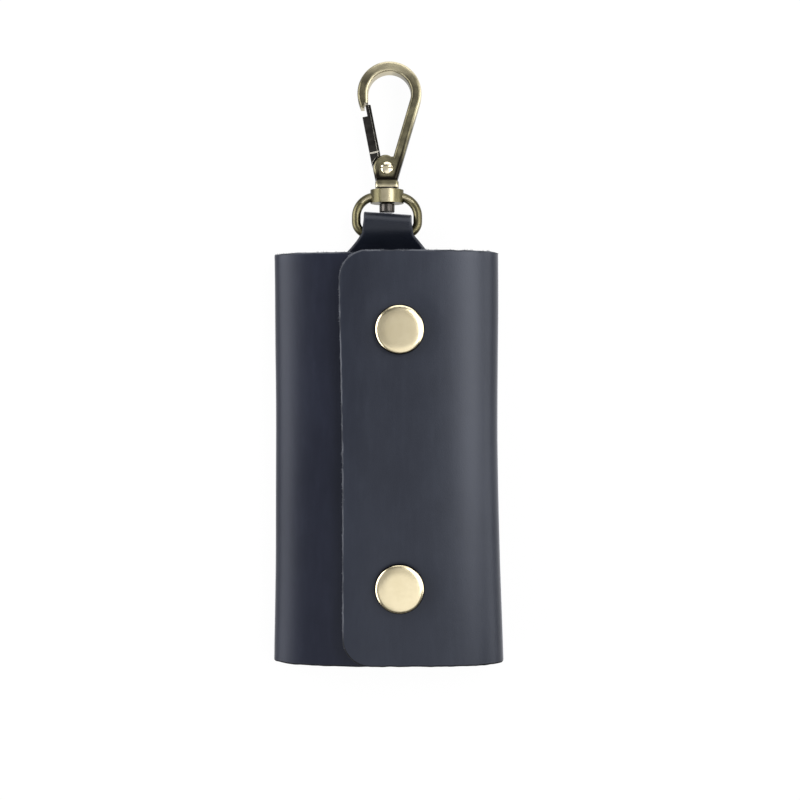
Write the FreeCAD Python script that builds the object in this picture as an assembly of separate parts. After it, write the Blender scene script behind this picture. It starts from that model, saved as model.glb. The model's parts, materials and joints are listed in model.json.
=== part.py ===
import FreeCAD, Part
import math
import os

# A wrap-around leather key case: two snaps close the wrap, a rail of key hooks is riveted
# inside, and a swivel clasp hangs in a leather loop at the top.
# Millimetres. The case lies on its back: +X to the right, +Y towards the clasp, +Z out of
# the front. The origin is on the back panel's outer face, at the middle of the case.

Vector = FreeCAD.Vector
X_AXIS = Vector(1, 0, 0)
Y_AXIS = Vector(0, 1, 0)
Z_AXIS = Vector(0, 0, 1)

# Case: one piece of leather, in three panels that part at the middle of the rounded sides
case_width = 58.4
case_height = 104.5
case_depth = 19.0
leather = 1.8
crease = 0.2
outer_flap_reach = 31.0
outer_corner_r = 7.0
flap_overlap = 20.45
inner_corner_r = 4.0

# Snaps: cap and socket on the outer flap, stud and post on the inner flap
snap_inset = 14.4
snap_from_top = 20.05
snap_from_bottom = 19.75
snap_clear = 0.2
snap_side_clear = 0.75
cap_r = 6.25
cap_height = 2.2
cap_edge_r = 0.95
cap_post_r = 1.7
cap_roll_r = 2.1
cap_roll = 0.3
socket_r = 5.4
socket_height = 1.8
socket_floor = 0.5
stud_flange_r = 5.0
stud_flange = 0.5
knob_r = 1.95
knob_neck_r = 1.7
knob_neck = 0.4
knob_wall = 0.35
post_r = 1.2
post_flange_r = 4.8
post_flange = 0.5

# Loop strap: folded round the ring, its two layers riveted under the key rail
strap = 1.4
strap_width = 12.2
strap_root_width = 22.0
strap_root_length = 9.8
loop_reach = 11.2
loop_clear = 0.65
flare_top = 4.45
flare_low = 1.35
slope_low = 0.9

# Key rail with its rod, and the two rivets that hold rail and strap to the back
rail_side_room = 4.4
rail_plate_width = 8.0
rail_sheet = 0.8
rail_below_top = 1.8
ear_r = 2.0
rod_r = 1.0
rod_drop = 2.6
rod_end = 0.8
rivet_spread = 16.0
rivet_r = 1.5
rivet_head_r = 3.0
rivet_head = 0.7
rivet_set_r = 2.5
rivet_set = 0.7
rivet_recess_ease = 0.05

# Key hooks: bent wire on a barrel, in a row on the rod
hook_count = 6
hook_row_room = 4.6
barrel_r = 2.1
barrel_length = 3.2
hook_wire_r = 0.6
hook_bow_r = 2.65
hook_run = 9.75
hook_shank_rise = 1.5
hook_tip_back = 1.0
hook_rest_gap = 0.4

# Swivel ring in the loop, with a boss for the swivel pin
clasp_x = -0.2
ring_wire_r = 1.15
ring_half_width = 8.05
ring_corner_r = 3.2
ring_side = 1.3
ring_slack = 2.2
boss_reach = 9.7
boss_r = 4.35
boss_depth = 6.2
boss_height = 3.5
boss_entry = 3.2

# Swivel pin
pin_r = 1.3
pin_head_r = 2.0
pin_head = 2.2
pin_shoulder_r = 2.6
pin_end_play = 0.15

# Snap hook: collar, base, leaning leg, round eye and nose
hook_thick = 4.6
collar_half = 3.05
collar = 1.4
collar_gap = 0.55
groove_half = 2.7
groove_sink = 0.4
groove = 0.75
base_drop = 2.7
base_top = 3.1
base_half = 3.1
knuckle_r = 3.65
eye_r = 5.6
eye_arm = 2.75
eye_side = 0.65
eye_rise = 19.5
leg_lean = 16.4
nose_lean = 22.0
nose_end = 15.7
hook_edge = 0.8

# Gate, its screw and its spring
gate_lean = 11.1
gate_width = 2.7
gate_offset = 0.98
gate_thick = 3.4
gate_tongue = 1.8
gate_shoulder = 14.3
gate_tip = 17.2
gate_tip_width = 1.35
gate_neck = 2.2
gate_bevel = 0.6
gate_foot = 4.9
gate_foot_rise = 0.4
gate_foot_ramp = 0.5
gate_disc_r = 2.3
gate_gap = 0.3
heel_reach = 2.1
heel_drop = 0.9
slot_r = 2.5
slot_clear = 0.2
slot_swing = 0.8
screw_r = 0.9
screw_head_r = 1.55
screw_head = 0.6
screw_dome = 0.4
screw_sink = 0.4
screw_sink_ease = 0.2
screw_slot = 0.5
spring_r = 0.55
spring_wire_r = 0.14
spring_turns = 3
spring_ease = 0.05
pocket_floor = 0.5

# Fits
running_fit = 0.06
seat_fit = 0.02
overrun = 1.0

# Places worked out from the sizes above
case_top = case_height / 2
flap_space = socket_height + snap_clear + stud_flange
inner_face_z = case_depth - leather
left_depth = inner_face_z - flap_space
right_r = case_depth / 2
left_r = left_depth / 2
right_fold_x = case_width / 2 - right_r
left_fold_x = left_r - case_width / 2
outer_edge_x = right_fold_x - outer_flap_reach
inner_edge_x = outer_edge_x + flap_overlap
snap_x = outer_edge_x + snap_inset
snap_places = {
    "upper": case_top - snap_from_top,
    "lower": snap_from_bottom - case_top,
}
knob_height = socket_height - socket_floor - cap_roll

loop_in_r = ring_wire_r + loop_clear
loop_out_r = loop_in_r + strap
clasp_z = leather + loop_out_r
fold_y = case_top + loop_reach - loop_out_r
ring_y = fold_y - ring_slack
strap_layers_z = leather + 2 * strap

rail_length = case_width - 2 * (leather + rail_side_room)
hook_row = rail_length - 2 * (rail_sheet + hook_row_room) - barrel_length
hook_pitch = hook_row / (hook_count - 1)
rail_top_y = case_top - rail_below_top
rail_low_y = rail_top_y - rail_plate_width
rail_mid_y = (rail_top_y + rail_low_y) / 2
rail_face_z = strap_layers_z + rail_sheet
rod_y = rail_low_y - rod_drop
rod_z = leather + hook_rest_gap + 2 * hook_bow_r - hook_shank_rise + hook_wire_r

boss_low_y = ring_y + boss_reach - boss_height / 2
boss_top_y = boss_low_y + boss_height
collar_y = boss_top_y + collar_gap
groove_y = collar_y + collar
base_y = groove_y + groove
screw_y = base_y + base_drop
screw_point = Vector(clasp_x, screw_y, clasp_z)
pocket_r = spring_r + spring_wire_r + spring_ease


def box(low, high):
    size = high - low
    return Part.makeBox(size.x, size.y, size.z, low)


def bar(start, end, radius):
    return Part.makeCylinder(radius, (end - start).Length, start, end - start)


def tube(start, end, outer_r, inner_r):
    reach = (end - start).normalize() * overrun
    return bar(start, end, outer_r).cut(bar(start - reach, end + reach, inner_r))


def line(start, end):
    return Part.LineSegment(start, end).toShape()


def arc(start, middle, end):
    return Part.Arc(start, middle, end).toShape()


def prism(edges, direction):
    return Part.Face(Part.Wire(edges)).extrude(direction)


def polygon_prism(points, direction):
    return Part.Face(Part.makePolygon(points + points[:1])).extrude(direction)


def on_circle(centre, radius, degrees):
    turn = math.radians(degrees)
    return centre + Vector(radius * math.cos(turn), radius * math.sin(turn), 0)


def sweep_wire(edges, start, tangent, radius):
    section = Part.Wire(Part.makeCircle(radius, start, tangent))
    return Part.Wire(edges).makePipeShell([section], True, False)


# Wrap panels

def rounded_side(fold_x, radius, side, half):
    start = Vector(fold_x, -case_top, radius)
    end = Vector(fold_x, case_top, radius)
    shell = tube(start, end, radius, radius - leather)
    far_x = fold_x + side * (radius + overrun)
    near_z = radius + half * crease / 2
    far_z = radius + half * (radius + overrun)
    keep = box(
        Vector(min(fold_x, far_x), -case_top, min(near_z, far_z)),
        Vector(max(fold_x, far_x), case_top, max(near_z, far_z)),
    )
    return shell.common(keep)


def flap_panel(fold_x, edge_x, face_z, corner_r):
    inward = math.copysign(1, fold_x - edge_x)
    low_z = face_z - leather
    edges = []
    edge_ends = []
    fold_ends = []
    for end in (-1, 1):
        centre = Vector(edge_x + inward * corner_r, end * (case_top - corner_r), low_z)
        on_end = centre + Vector(0, end * corner_r, 0)
        on_edge = centre - Vector(inward * corner_r, 0, 0)
        middle = centre + Vector(-inward, end, 0).normalize() * corner_r
        fold_end = Vector(fold_x, end * case_top, low_z)
        edges += [line(fold_end, on_end), arc(on_end, middle, on_edge)]
        edge_ends.append(on_edge)
        fold_ends.append(fold_end)
    edges += [line(*edge_ends), line(*fold_ends)]
    return prism(Part.__sortEdges__(edges), Z_AXIS * leather)


def wrap_back():
    panel = box(Vector(left_fold_x, -case_top, 0), Vector(right_fold_x, case_top, leather))
    sides = [
        rounded_side(right_fold_x, right_r, 1, -1),
        rounded_side(left_fold_x, left_r, -1, -1),
    ]
    panel = panel.fuse(sides).removeSplitter()
    recess = rivet_head + rivet_recess_ease
    for side in (-1, 1):
        foot = Vector(side * rivet_spread / 2, rail_mid_y, 0)
        below = foot - Z_AXIS * overrun
        panel = panel.cut(bar(below, foot + Z_AXIS * leather * 2, rivet_r + seat_fit))
        panel = panel.cut(bar(below, foot + Z_AXIS * recess, rivet_head_r + rivet_recess_ease))
    return panel


def wrap_outer_flap():
    panel = flap_panel(right_fold_x, outer_edge_x, case_depth, outer_corner_r)
    panel = panel.fuse(rounded_side(right_fold_x, right_r, 1, 1)).removeSplitter()
    for y in snap_places.values():
        foot = Vector(snap_x, y, inner_face_z)
        panel = panel.cut(bar(foot - Z_AXIS * overrun, foot + Z_AXIS * leather * 2, cap_post_r + seat_fit))
    return panel


def wrap_inner_flap():
    panel = flap_panel(left_fold_x, inner_edge_x, left_depth, inner_corner_r)
    panel = panel.fuse(rounded_side(left_fold_x, left_r, -1, 1)).removeSplitter()
    for y in snap_places.values():
        top = Vector(snap_x, y, left_depth + overrun)
        panel = panel.cut(bar(top - Z_AXIS * (leather * 2 + overrun), top, post_r + seat_fit))
    return panel


# Snaps

def snap_cap(y):
    foot = Vector(snap_x, y, case_depth)
    crown = foot + Z_AXIS * cap_height
    roll_x = cap_r - cap_edge_r
    roll_rise = cap_height - cap_edge_r
    roll_centre = foot + Vector(roll_x, 0, cap_edge_r)
    dome_r = (roll_x ** 2 + roll_rise ** 2 - cap_edge_r ** 2) / (2 * (roll_rise - cap_edge_r))
    dome_turn = math.atan2(roll_x, dome_r - roll_rise)
    dome_centre = crown - Z_AXIS * dome_r

    def leaning(turn):
        return Vector(math.sin(turn), 0, math.cos(turn))

    roll_low = roll_centre - Z_AXIS * cap_edge_r
    roll_top = roll_centre + leaning(dome_turn) * cap_edge_r
    profile = [
        line(foot, roll_low),
        arc(roll_low, roll_centre + X_AXIS * cap_edge_r, roll_top),
        arc(roll_top, dome_centre + leaning(dome_turn / 2) * dome_r, crown),
        line(crown, foot),
    ]
    dome = Part.Face(Part.Wire(profile)).revolve(foot, Z_AXIS, 360)
    set_top = foot - Z_AXIS * (leather + socket_floor)
    set_low = set_top - Z_AXIS * cap_roll
    post = bar(set_low, foot, cap_post_r)
    return dome.fuse([post, bar(set_low, set_top, cap_roll_r)]).removeSplitter()


def snap_socket(y):
    top = Vector(snap_x, y, inner_face_z)
    mouth = top - Z_AXIS * socket_height
    body = bar(mouth, top, socket_r)
    well = bar(mouth - Z_AXIS * overrun, top - Z_AXIS * socket_floor, knob_r + snap_side_clear)
    throat = bar(mouth, top + Z_AXIS * overrun, cap_post_r + seat_fit)
    return body.cut(well).cut(throat)


def snap_stud(y):
    foot = Vector(snap_x, y, left_depth)
    shoulder = foot + Z_AXIS * stud_flange
    waist = shoulder + Z_AXIS * knob_neck
    top = shoulder + Z_AXIS * knob_height
    knob = bar(shoulder, waist, knob_neck_r).fuse(bar(waist, top, knob_r))
    hollow = bar(foot - Z_AXIS * overrun, top - Z_AXIS * knob_wall, post_r + seat_fit)
    return bar(foot, shoulder, stud_flange_r).fuse(knob).cut(hollow).removeSplitter()


def snap_post(y):
    head = Vector(snap_x, y, left_depth - leather)
    top = Vector(snap_x, y, left_depth + stud_flange + knob_height - knob_wall - seat_fit)
    flange = bar(head - Z_AXIS * post_flange, head, post_flange_r)
    return flange.fuse(bar(head, top, post_r)).removeSplitter()


# Loop strap

def strap_profile():
    half = strap_root_width / 2
    root_y = case_top - strap_root_length
    slope_top_y = case_top + flare_top
    slope_low_y = case_top - slope_low
    axis_start = Vector(-half, fold_y, clasp_z)
    axis_end = Vector(half, fold_y, clasp_z)
    fold = tube(axis_start, axis_end, loop_out_r, loop_in_r)
    fold = fold.common(box(
        Vector(-half, fold_y, clasp_z - loop_out_r),
        Vector(half, fold_y + loop_out_r, clasp_z + loop_out_r),
    ))
    back_layer = box(Vector(-half, root_y, leather), Vector(half, fold_y, leather + strap))
    front_layer = box(
        Vector(-half, slope_top_y, clasp_z + loop_in_r),
        Vector(half, fold_y, clasp_z + loop_out_r),
    )
    slope = polygon_prism(
        [
            Vector(-half, slope_top_y, clasp_z + loop_in_r),
            Vector(-half, slope_top_y, clasp_z + loop_out_r),
            Vector(-half, slope_low_y, strap_layers_z),
            Vector(-half, slope_low_y, leather + strap),
        ],
        X_AXIS * strap_root_width,
    )
    root_layer = box(Vector(-half, root_y, leather + strap), Vector(half, slope_low_y, strap_layers_z))
    return fold.fuse([back_layer, front_layer, slope, root_layer]).removeSplitter()


def strap_outline():
    flare_bend_share = 0.45
    half = strap_width / 2
    root_half = strap_root_width / 2
    top_y = fold_y + loop_out_r + overrun
    high_y = case_top + flare_top
    low_y = case_top + flare_low
    root_y = case_top - strap_root_length - overrun
    bend = Vector(
        half + (root_half - half) * flare_bend_share,
        low_y + (high_y - low_y) * flare_bend_share,
        0,
    )
    edges = []
    for side in (-1, 1):
        def at(x, y):
            return Vector(side * x, y, 0)
        edges.append(line(at(half, top_y), at(half, high_y)))
        edges.append(arc(at(half, high_y), at(bend.x, bend.y), at(root_half, low_y)))
        edges.append(line(at(root_half, low_y), at(root_half, root_y)))
    edges.append(line(Vector(-half, top_y, 0), Vector(half, top_y, 0)))
    edges.append(line(Vector(-root_half, root_y, 0), Vector(root_half, root_y, 0)))
    return prism(Part.__sortEdges__(edges), Z_AXIS * case_depth)


def loop_strap():
    solid = strap_profile().common(strap_outline())
    for side in (-1, 1):
        foot = Vector(side * rivet_spread / 2, rail_mid_y, 0)
        solid = solid.cut(bar(foot, foot + Z_AXIS * case_depth, rivet_r + seat_fit))
    return solid


# Key rail, rod and rivets

def key_rail():
    half = rail_length / 2
    plate = box(Vector(-half, rail_low_y, strap_layers_z), Vector(half, rail_top_y, rail_face_z))
    for side in (-1, 1):
        foot = Vector(side * rivet_spread / 2, rail_mid_y, 0)
        plate = plate.cut(bar(foot, foot + Z_AXIS * case_depth, rivet_r + seat_fit))
    pieces = []
    for x in (-half, half - rail_sheet):
        eye = Vector(x, rod_y, rod_z)
        lug = bar(eye, eye + X_AXIS * rail_sheet, ear_r)
        arm = box(
            Vector(x, rod_y, strap_layers_z),
            Vector(x + rail_sheet, rail_mid_y, rod_z + ear_r),
        )
        pieces += [lug, arm]
    rail = plate.fuse(pieces)
    bore_end = Vector(half + overrun, rod_y, rod_z)
    bore_start = Vector(-half - overrun, rod_y, rod_z)
    return rail.cut(bar(bore_start, bore_end, rod_r + seat_fit)).removeSplitter()


def rail_rod():
    reach = rail_length / 2 + rod_end
    return bar(Vector(-reach, rod_y, rod_z), Vector(reach, rod_y, rod_z), rod_r)


def rail_rivet(side):
    foot = Vector(side * rivet_spread / 2, rail_mid_y, rivet_recess_ease)
    shoulder = foot + Z_AXIS * rivet_head
    face = Vector(foot.x, foot.y, rail_face_z)
    head = bar(foot, shoulder, rivet_head_r)
    shank = bar(shoulder, face, rivet_r)
    set_head = bar(face, face + Z_AXIS * rivet_set, rivet_set_r)
    return head.fuse([shank, set_head]).removeSplitter()


def key_hook(x):
    axis = Vector(x, rod_y, rod_z)
    half = X_AXIS * barrel_length / 2
    barrel = tube(axis - half, axis + half, barrel_r, rod_r + running_fit)
    shank = axis + Z_AXIS * hook_shank_rise
    bow_top = shank - Y_AXIS * hook_run
    bow_centre = bow_top - Z_AXIS * hook_bow_r
    bow_low = bow_centre - Z_AXIS * hook_bow_r
    tip = Vector(x, rod_y - hook_tip_back, bow_low.z)
    path = [
        line(shank, bow_top),
        arc(bow_top, bow_centre - Y_AXIS * hook_bow_r, bow_low),
        line(bow_low, tip),
    ]
    wire = sweep_wire(path, shank, -Y_AXIS, hook_wire_r)
    bore = bar(axis - half * 2, axis + half * 2, rod_r + running_fit)
    return barrel.fuse(wire).cut(bore)


# Clasp

def swivel_ring():
    centre = Vector(clasp_x, ring_y, clasp_z)
    side_low = Vector(ring_half_width, ring_corner_r, 0)
    side_high = side_low + Y_AXIS * ring_side
    entry = Vector(boss_entry, boss_reach, 0)
    inset = ring_half_width - boss_entry
    rise = entry.y - side_high.y
    shoulder_r = (inset ** 2 + rise ** 2) / (2 * inset)
    shoulder_centre = side_high - X_AXIS * shoulder_r
    entry_turn = math.degrees(math.atan2(rise, entry.x - shoulder_centre.x))
    shoulder_middle = on_circle(shoulder_centre, shoulder_r, entry_turn / 2)
    corner_centre = side_low - X_AXIS * ring_corner_r
    corner_middle = on_circle(corner_centre, ring_corner_r, -45)
    bar_end = corner_centre - Y_AXIS * ring_corner_r

    def right(point):
        return centre + point

    def left(point):
        return centre + Vector(-point.x, point.y, 0)

    path = [
        arc(right(entry), right(shoulder_middle), right(side_high)),
        line(right(side_high), right(side_low)),
        arc(right(side_low), right(corner_middle), right(bar_end)),
        line(right(bar_end), left(bar_end)),
        arc(left(bar_end), left(corner_middle), left(side_low)),
        line(left(side_low), left(side_high)),
        arc(left(side_high), left(shoulder_middle), left(entry)),
    ]
    radial = entry - shoulder_centre
    wire = sweep_wire(path, right(entry), Vector(radial.y, -radial.x, 0), ring_wire_r)
    boss_foot = Vector(clasp_x, boss_low_y, clasp_z)
    oval = Part.Ellipse(Vector(), boss_r, boss_depth / 2).toShape()
    boss = prism([oval], Z_AXIS * boss_height)
    boss.rotate(Vector(), X_AXIS, -90)
    boss.translate(boss_foot)
    bore_start = boss_foot - Y_AXIS * overrun
    bore = bar(bore_start, bore_start + Y_AXIS * (boss_height + 2 * overrun), pin_r + running_fit)
    return boss.fuse(wire).cut(bore)


def swivel_pin():
    head_top = Vector(clasp_x, boss_low_y - pin_end_play, clasp_z)
    head = bar(head_top - Y_AXIS * pin_head, head_top, pin_head_r)
    shank = bar(head_top, Vector(clasp_x, base_y, clasp_z), pin_r)
    shoulder_low = Vector(clasp_x, boss_top_y + running_fit, clasp_z)
    shoulder = bar(shoulder_low, Vector(clasp_x, collar_y, clasp_z), pin_shoulder_r)
    return head.fuse([shank, shoulder]).removeSplitter()


def hook_outline():
    eye = Vector(eye_side, eye_rise, 0)
    outer_r = eye_r + eye_arm
    lean = math.tan(math.radians(leg_lean))
    nose_slope = math.tan(math.radians(nose_lean))
    outer_left = on_circle(eye, outer_r, 180 + nose_lean)
    outer_right = on_circle(eye, outer_r, -leg_lean)
    inner_right = on_circle(eye, eye_r, -leg_lean)
    inner_left = on_circle(eye, eye_r, 180)
    nose_out = Vector(outer_left.x + (outer_left.y - nose_end) * nose_slope, nose_end, 0)
    nose_in = Vector(inner_left.x, nose_end, 0)
    base_right = Vector(outer_right.x - (outer_right.y + base_drop) * lean, -base_drop, 0)
    base_left = Vector(-base_half, -base_drop, 0)
    knuckle_turn = math.degrees(math.asin(base_top / knuckle_r))
    knuckle_top = on_circle(Vector(), knuckle_r, 180 - knuckle_turn)
    knuckle_middle = on_circle(Vector(), knuckle_r, 180 - knuckle_turn / 2)
    knuckle_side = Vector(-knuckle_r, 0, 0)
    leg_foot = Vector(inner_right.x - (inner_right.y - base_top) * lean, base_top, 0)
    return [
        line(nose_out, outer_left),
        arc(outer_left, on_circle(eye, outer_r, 90), outer_right),
        line(outer_right, base_right),
        line(base_right, base_left),
        line(base_left, knuckle_side),
        arc(knuckle_side, knuckle_middle, knuckle_top),
        line(knuckle_top, leg_foot),
        line(leg_foot, inner_right),
        arc(inner_right, on_circle(eye, eye_r, 90), inner_left),
        line(inner_left, nose_in),
        line(nose_in, nose_out),
    ]


def nose_notch():
    lean = math.radians(gate_lean)
    tip_left = -gate_offset - gate_tip_width
    corner_x = tip_left * math.cos(lean) - gate_tip * math.sin(lean)
    corner_y = gate_tip * math.cos(lean) - gate_offset * math.sin(lean)
    return box(
        Vector(corner_x - gate_gap, nose_end - overrun, -hook_thick),
        Vector(eye_side, corner_y + gate_gap, hook_thick),
    )


def hook_body():
    half = hook_thick / 2
    body = prism(hook_outline(), Z_AXIS * hook_thick)
    body.translate(Vector(0, 0, -half))
    faces = [edge for edge in body.Edges if abs(abs(edge.CenterOfMass.z) - half) < seat_fit]
    rims = [edge for edge in faces if edge.CenterOfMass.y > seat_fit - base_drop]
    body = body.makeFillet(hook_edge, rims)
    neck_half = half - groove_sink
    neck = box(
        Vector(-groove_half, groove_y - screw_y, -neck_half),
        Vector(groove_half, hook_edge - base_drop, neck_half),
    )
    lip = box(
        Vector(-collar_half, collar_y - screw_y, -half),
        Vector(collar_half, groove_y - screw_y, half),
    )
    corners = [edge for edge in lip.Edges if edge.BoundBox.YLength > seat_fit]
    lip = lip.makeFillet(hook_edge, corners)
    body = body.fuse([neck, lip])
    slot_half = Z_AXIS * (gate_tongue / 2 + slot_clear)
    slot = bar(-slot_half, slot_half, slot_r)
    channel = box(
        Vector(-knuckle_r - overrun, -heel_drop, -slot_half.z),
        Vector(slot_swing, base_top + overrun, slot_half.z),
    )
    seat_y = pocket_floor - base_drop
    pocket_x = heel_reach - pocket_r
    pocket = bar(Vector(pocket_x, seat_y, 0), Vector(pocket_x, 0, 0), pocket_r)
    screw_hole = bar(Vector(0, 0, -hook_thick), Vector(0, 0, hook_thick), screw_r + seat_fit)
    sink = bar(Vector(0, 0, half - screw_sink), Vector(0, 0, hook_thick), screw_head_r + screw_sink_ease)
    pin_hole = bar(
        Vector(0, collar_y - screw_y - overrun, 0),
        Vector(0, base_y - screw_y + seat_fit, 0),
        pin_r + seat_fit,
    )
    for cutter in (nose_notch(), slot, channel, pocket, screw_hole, sink, pin_hole):
        body = body.cut(cutter)
    body.translate(screw_point)
    return body


def gate():
    left = -gate_offset - gate_width
    right = -gate_offset
    thick = Z_AXIS * gate_thick / 2
    thin = Z_AXIS * gate_tongue / 2

    def bevelled(near_x, half, length):
        section = [
            Vector(near_x, 0, -half),
            Vector(right - gate_bevel, 0, -half),
            Vector(right, 0, gate_bevel - half),
            Vector(right, 0, half - gate_bevel),
            Vector(right - gate_bevel, 0, half),
            Vector(near_x, 0, half),
        ]
        return polygon_prism(section, Y_AXIS * length)

    blade = bevelled(left, thick.z, gate_shoulder)
    tip = bevelled(right - gate_tip_width, thick.z, gate_tip)
    foot_z = thick.z + gate_foot_rise
    ramp_y = gate_foot - gate_foot_ramp
    ramp = polygon_prism(
        [
            Vector(left, 0, -foot_z),
            Vector(left, ramp_y, -foot_z),
            Vector(left, gate_foot, -thick.z),
            Vector(left, gate_foot, thick.z),
            Vector(left, ramp_y, foot_z),
            Vector(left, 0, foot_z),
        ],
        X_AXIS * gate_width,
    )
    foot = bevelled(left, foot_z, gate_foot).common(ramp)
    clear = bar(-thick * 2, thick * 2, knuckle_r + gate_gap)
    blade = blade.fuse([tip, foot]).cut(clear)
    neck = box(Vector(right - gate_neck, 0, 0) - thin, Vector(right, knuckle_r + gate_width, 0) + thin)
    disc = bar(-thin, thin, gate_disc_r)
    solid = blade.fuse([neck, disc])
    solid.rotate(Vector(), Z_AXIS, gate_lean)
    heel = box(Vector(0, -heel_drop, 0) - thin, Vector(heel_reach, 0, 0) + thin)
    spring_room = box(
        Vector(heel_reach - 2 * pocket_r, -slot_r, 0) - thin * 2,
        Vector(slot_r, -heel_drop, 0) + thin * 2,
    )
    solid = solid.fuse(heel).cut(spring_room)
    solid = solid.cut(bar(-thick * 2, thick * 2, screw_r + running_fit)).removeSplitter()
    solid.translate(screw_point)
    return solid


def gate_screw():
    face = Z_AXIS * (hook_thick / 2 - screw_sink)
    top = face + Z_AXIS * (screw_head + screw_dome)
    dome_r = (screw_head_r ** 2 + screw_dome ** 2) / (2 * screw_dome)
    shank = bar(Z_AXIS * -hook_thick / 2, face, screw_r)
    head = bar(face, top, screw_head_r).common(Part.makeSphere(dome_r, top - Z_AXIS * dome_r))
    slot = box(
        Vector(-screw_head_r - overrun, -screw_slot / 2, top.z - screw_slot),
        Vector(screw_head_r + overrun, screw_slot / 2, top.z + overrun),
    )
    solid = shank.fuse(head).cut(slot).removeSplitter()
    solid.translate(screw_point)
    return solid


def gate_spring():
    height = base_drop - pocket_floor - heel_drop - 2 * (spring_wire_r + spring_ease)
    coil = Part.makeHelix(height / spring_turns, height, spring_r)
    section = Part.Wire(Part.makeCircle(spring_wire_r, X_AXIS * spring_r, Y_AXIS))
    solid = Part.Wire(coil.Edges).makePipeShell([section], True, True)
    solid.rotate(Vector(), X_AXIS, -90)
    pocket_x = heel_reach - pocket_r
    foot_y = pocket_floor - base_drop + spring_wire_r + spring_ease
    solid.translate(screw_point + Vector(pocket_x, foot_y, 0))
    return solid


def all_nodes():
    nodes = {
        "wrap_back": wrap_back(),
        "wrap_outer_flap": wrap_outer_flap(),
        "wrap_inner_flap": wrap_inner_flap(),
        "loop_strap": loop_strap(),
        "key_rail": key_rail(),
        "rail_rod": rail_rod(),
        "rail_rivet_left": rail_rivet(-1),
        "rail_rivet_right": rail_rivet(1),
        "swivel_ring": swivel_ring(),
        "swivel_pin": swivel_pin(),
        "hook_body": hook_body(),
        "gate": gate(),
        "gate_screw": gate_screw(),
        "gate_spring": gate_spring(),
    }
    for place, y in snap_places.items():
        nodes[place + "_snap_cap"] = snap_cap(y)
        nodes[place + "_snap_socket"] = snap_socket(y)
        nodes[place + "_snap_stud"] = snap_stud(y)
        nodes[place + "_snap_post"] = snap_post(y)
    for number in range(hook_count):
        x = (number - (hook_count - 1) / 2) * hook_pitch
        nodes["key_hook_%d" % (number + 1)] = key_hook(x)
    return nodes


os.makedirs("parts", exist_ok=True)
for name, shape in all_nodes().items():
    print("%-18s solids %d valid %s volume %.2f" % (name, len(shape.Solids), shape.isValid(), shape.Volume))
    shape.exportStep("parts/%s.step" % name)
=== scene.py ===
import json
import math

import bmesh
import bpy
import numpy as np
from mathutils import Matrix, Vector, noise

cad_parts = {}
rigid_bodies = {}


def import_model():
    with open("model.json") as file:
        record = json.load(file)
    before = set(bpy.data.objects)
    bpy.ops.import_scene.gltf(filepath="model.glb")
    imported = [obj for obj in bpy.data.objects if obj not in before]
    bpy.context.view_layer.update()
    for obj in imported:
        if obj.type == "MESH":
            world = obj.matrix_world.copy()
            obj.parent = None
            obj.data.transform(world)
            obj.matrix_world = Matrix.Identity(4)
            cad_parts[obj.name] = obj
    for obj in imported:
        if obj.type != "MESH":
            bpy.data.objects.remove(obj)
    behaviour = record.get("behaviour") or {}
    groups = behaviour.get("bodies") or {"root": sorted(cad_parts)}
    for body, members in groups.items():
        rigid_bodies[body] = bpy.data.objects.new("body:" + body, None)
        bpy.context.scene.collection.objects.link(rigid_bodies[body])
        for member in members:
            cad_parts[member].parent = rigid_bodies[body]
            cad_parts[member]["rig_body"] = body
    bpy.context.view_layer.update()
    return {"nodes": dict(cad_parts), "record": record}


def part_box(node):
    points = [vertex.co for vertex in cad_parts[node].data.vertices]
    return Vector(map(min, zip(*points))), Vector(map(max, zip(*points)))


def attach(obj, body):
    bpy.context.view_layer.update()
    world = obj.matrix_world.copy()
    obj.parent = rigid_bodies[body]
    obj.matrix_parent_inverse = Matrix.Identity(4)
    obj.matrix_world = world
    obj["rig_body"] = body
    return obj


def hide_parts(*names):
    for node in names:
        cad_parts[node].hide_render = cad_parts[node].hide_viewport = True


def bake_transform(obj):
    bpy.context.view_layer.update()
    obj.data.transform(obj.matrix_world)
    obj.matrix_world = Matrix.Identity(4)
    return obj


# A wrap-around leather key case on its back: cut leather folded round a key rail, two domed
# snaps, and a swivel snap hook in a leather loop. Metres, in the solids' own frame.

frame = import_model()
nodes = frame["nodes"]
MM = 0.001

# Where the solids are
outer_low, outer_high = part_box("wrap_outer_flap")
inner_low, inner_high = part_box("wrap_inner_flap")
strap_low, strap_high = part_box("loop_strap")
cap_boxes = {side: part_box(side + "_snap_cap") for side in ("upper", "lower")}
snap_x = (cap_boxes["upper"][0].x + cap_boxes["upper"][1].x) / 2
cap_r = (cap_boxes["upper"][1].x - cap_boxes["upper"][0].x) / 2
case_top = outer_high.y
case_depth = outer_high.z
inner_depth = inner_high.z

# Leather
leather = 1.8 * MM
outer_corner_r = 7.0 * MM
inner_corner_r = 4.0 * MM
grain_round = 0.42 * MM
flesh_round = 0.15 * MM
leather_step = 0.8 * MM
rim_steps = 4
corner_rows = 12
fold_samples = 3000
back_power = 6.0
outer_power = 3.0
inner_power = 2.15
flap_droop = 0.5 * MM
droop_start = 7.0 * MM
edge_spare = 2.0 * MM
edge_slant = 0.9 * MM
slant_start = -10.0 * MM
slant_run = 50.0 * MM
slant_power = 1.5
left_tail = 0.9 * MM
tail_run = 45.0 * MM
tail_fade = 14.0 * MM
tail_from_share = 0.25
tail_full_share = 0.6
stud_flat = 5.5 * MM
ripple = 0.16 * MM
ripple_length = 26.0 * MM
ripple_start = 14.0 * MM
press_depth = 0.12 * MM
press_r = 7.2 * MM
press_full_share = 0.8
press_end_share = 1.6
uv_length = 100.0 * MM
wear_reach = 1.3 * MM
# Edges wear above these heights along Y, and are left dark below them as painted shade
shaded_edges_below = -50.0 * MM
worn_edges_above = -42.0 * MM
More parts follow.
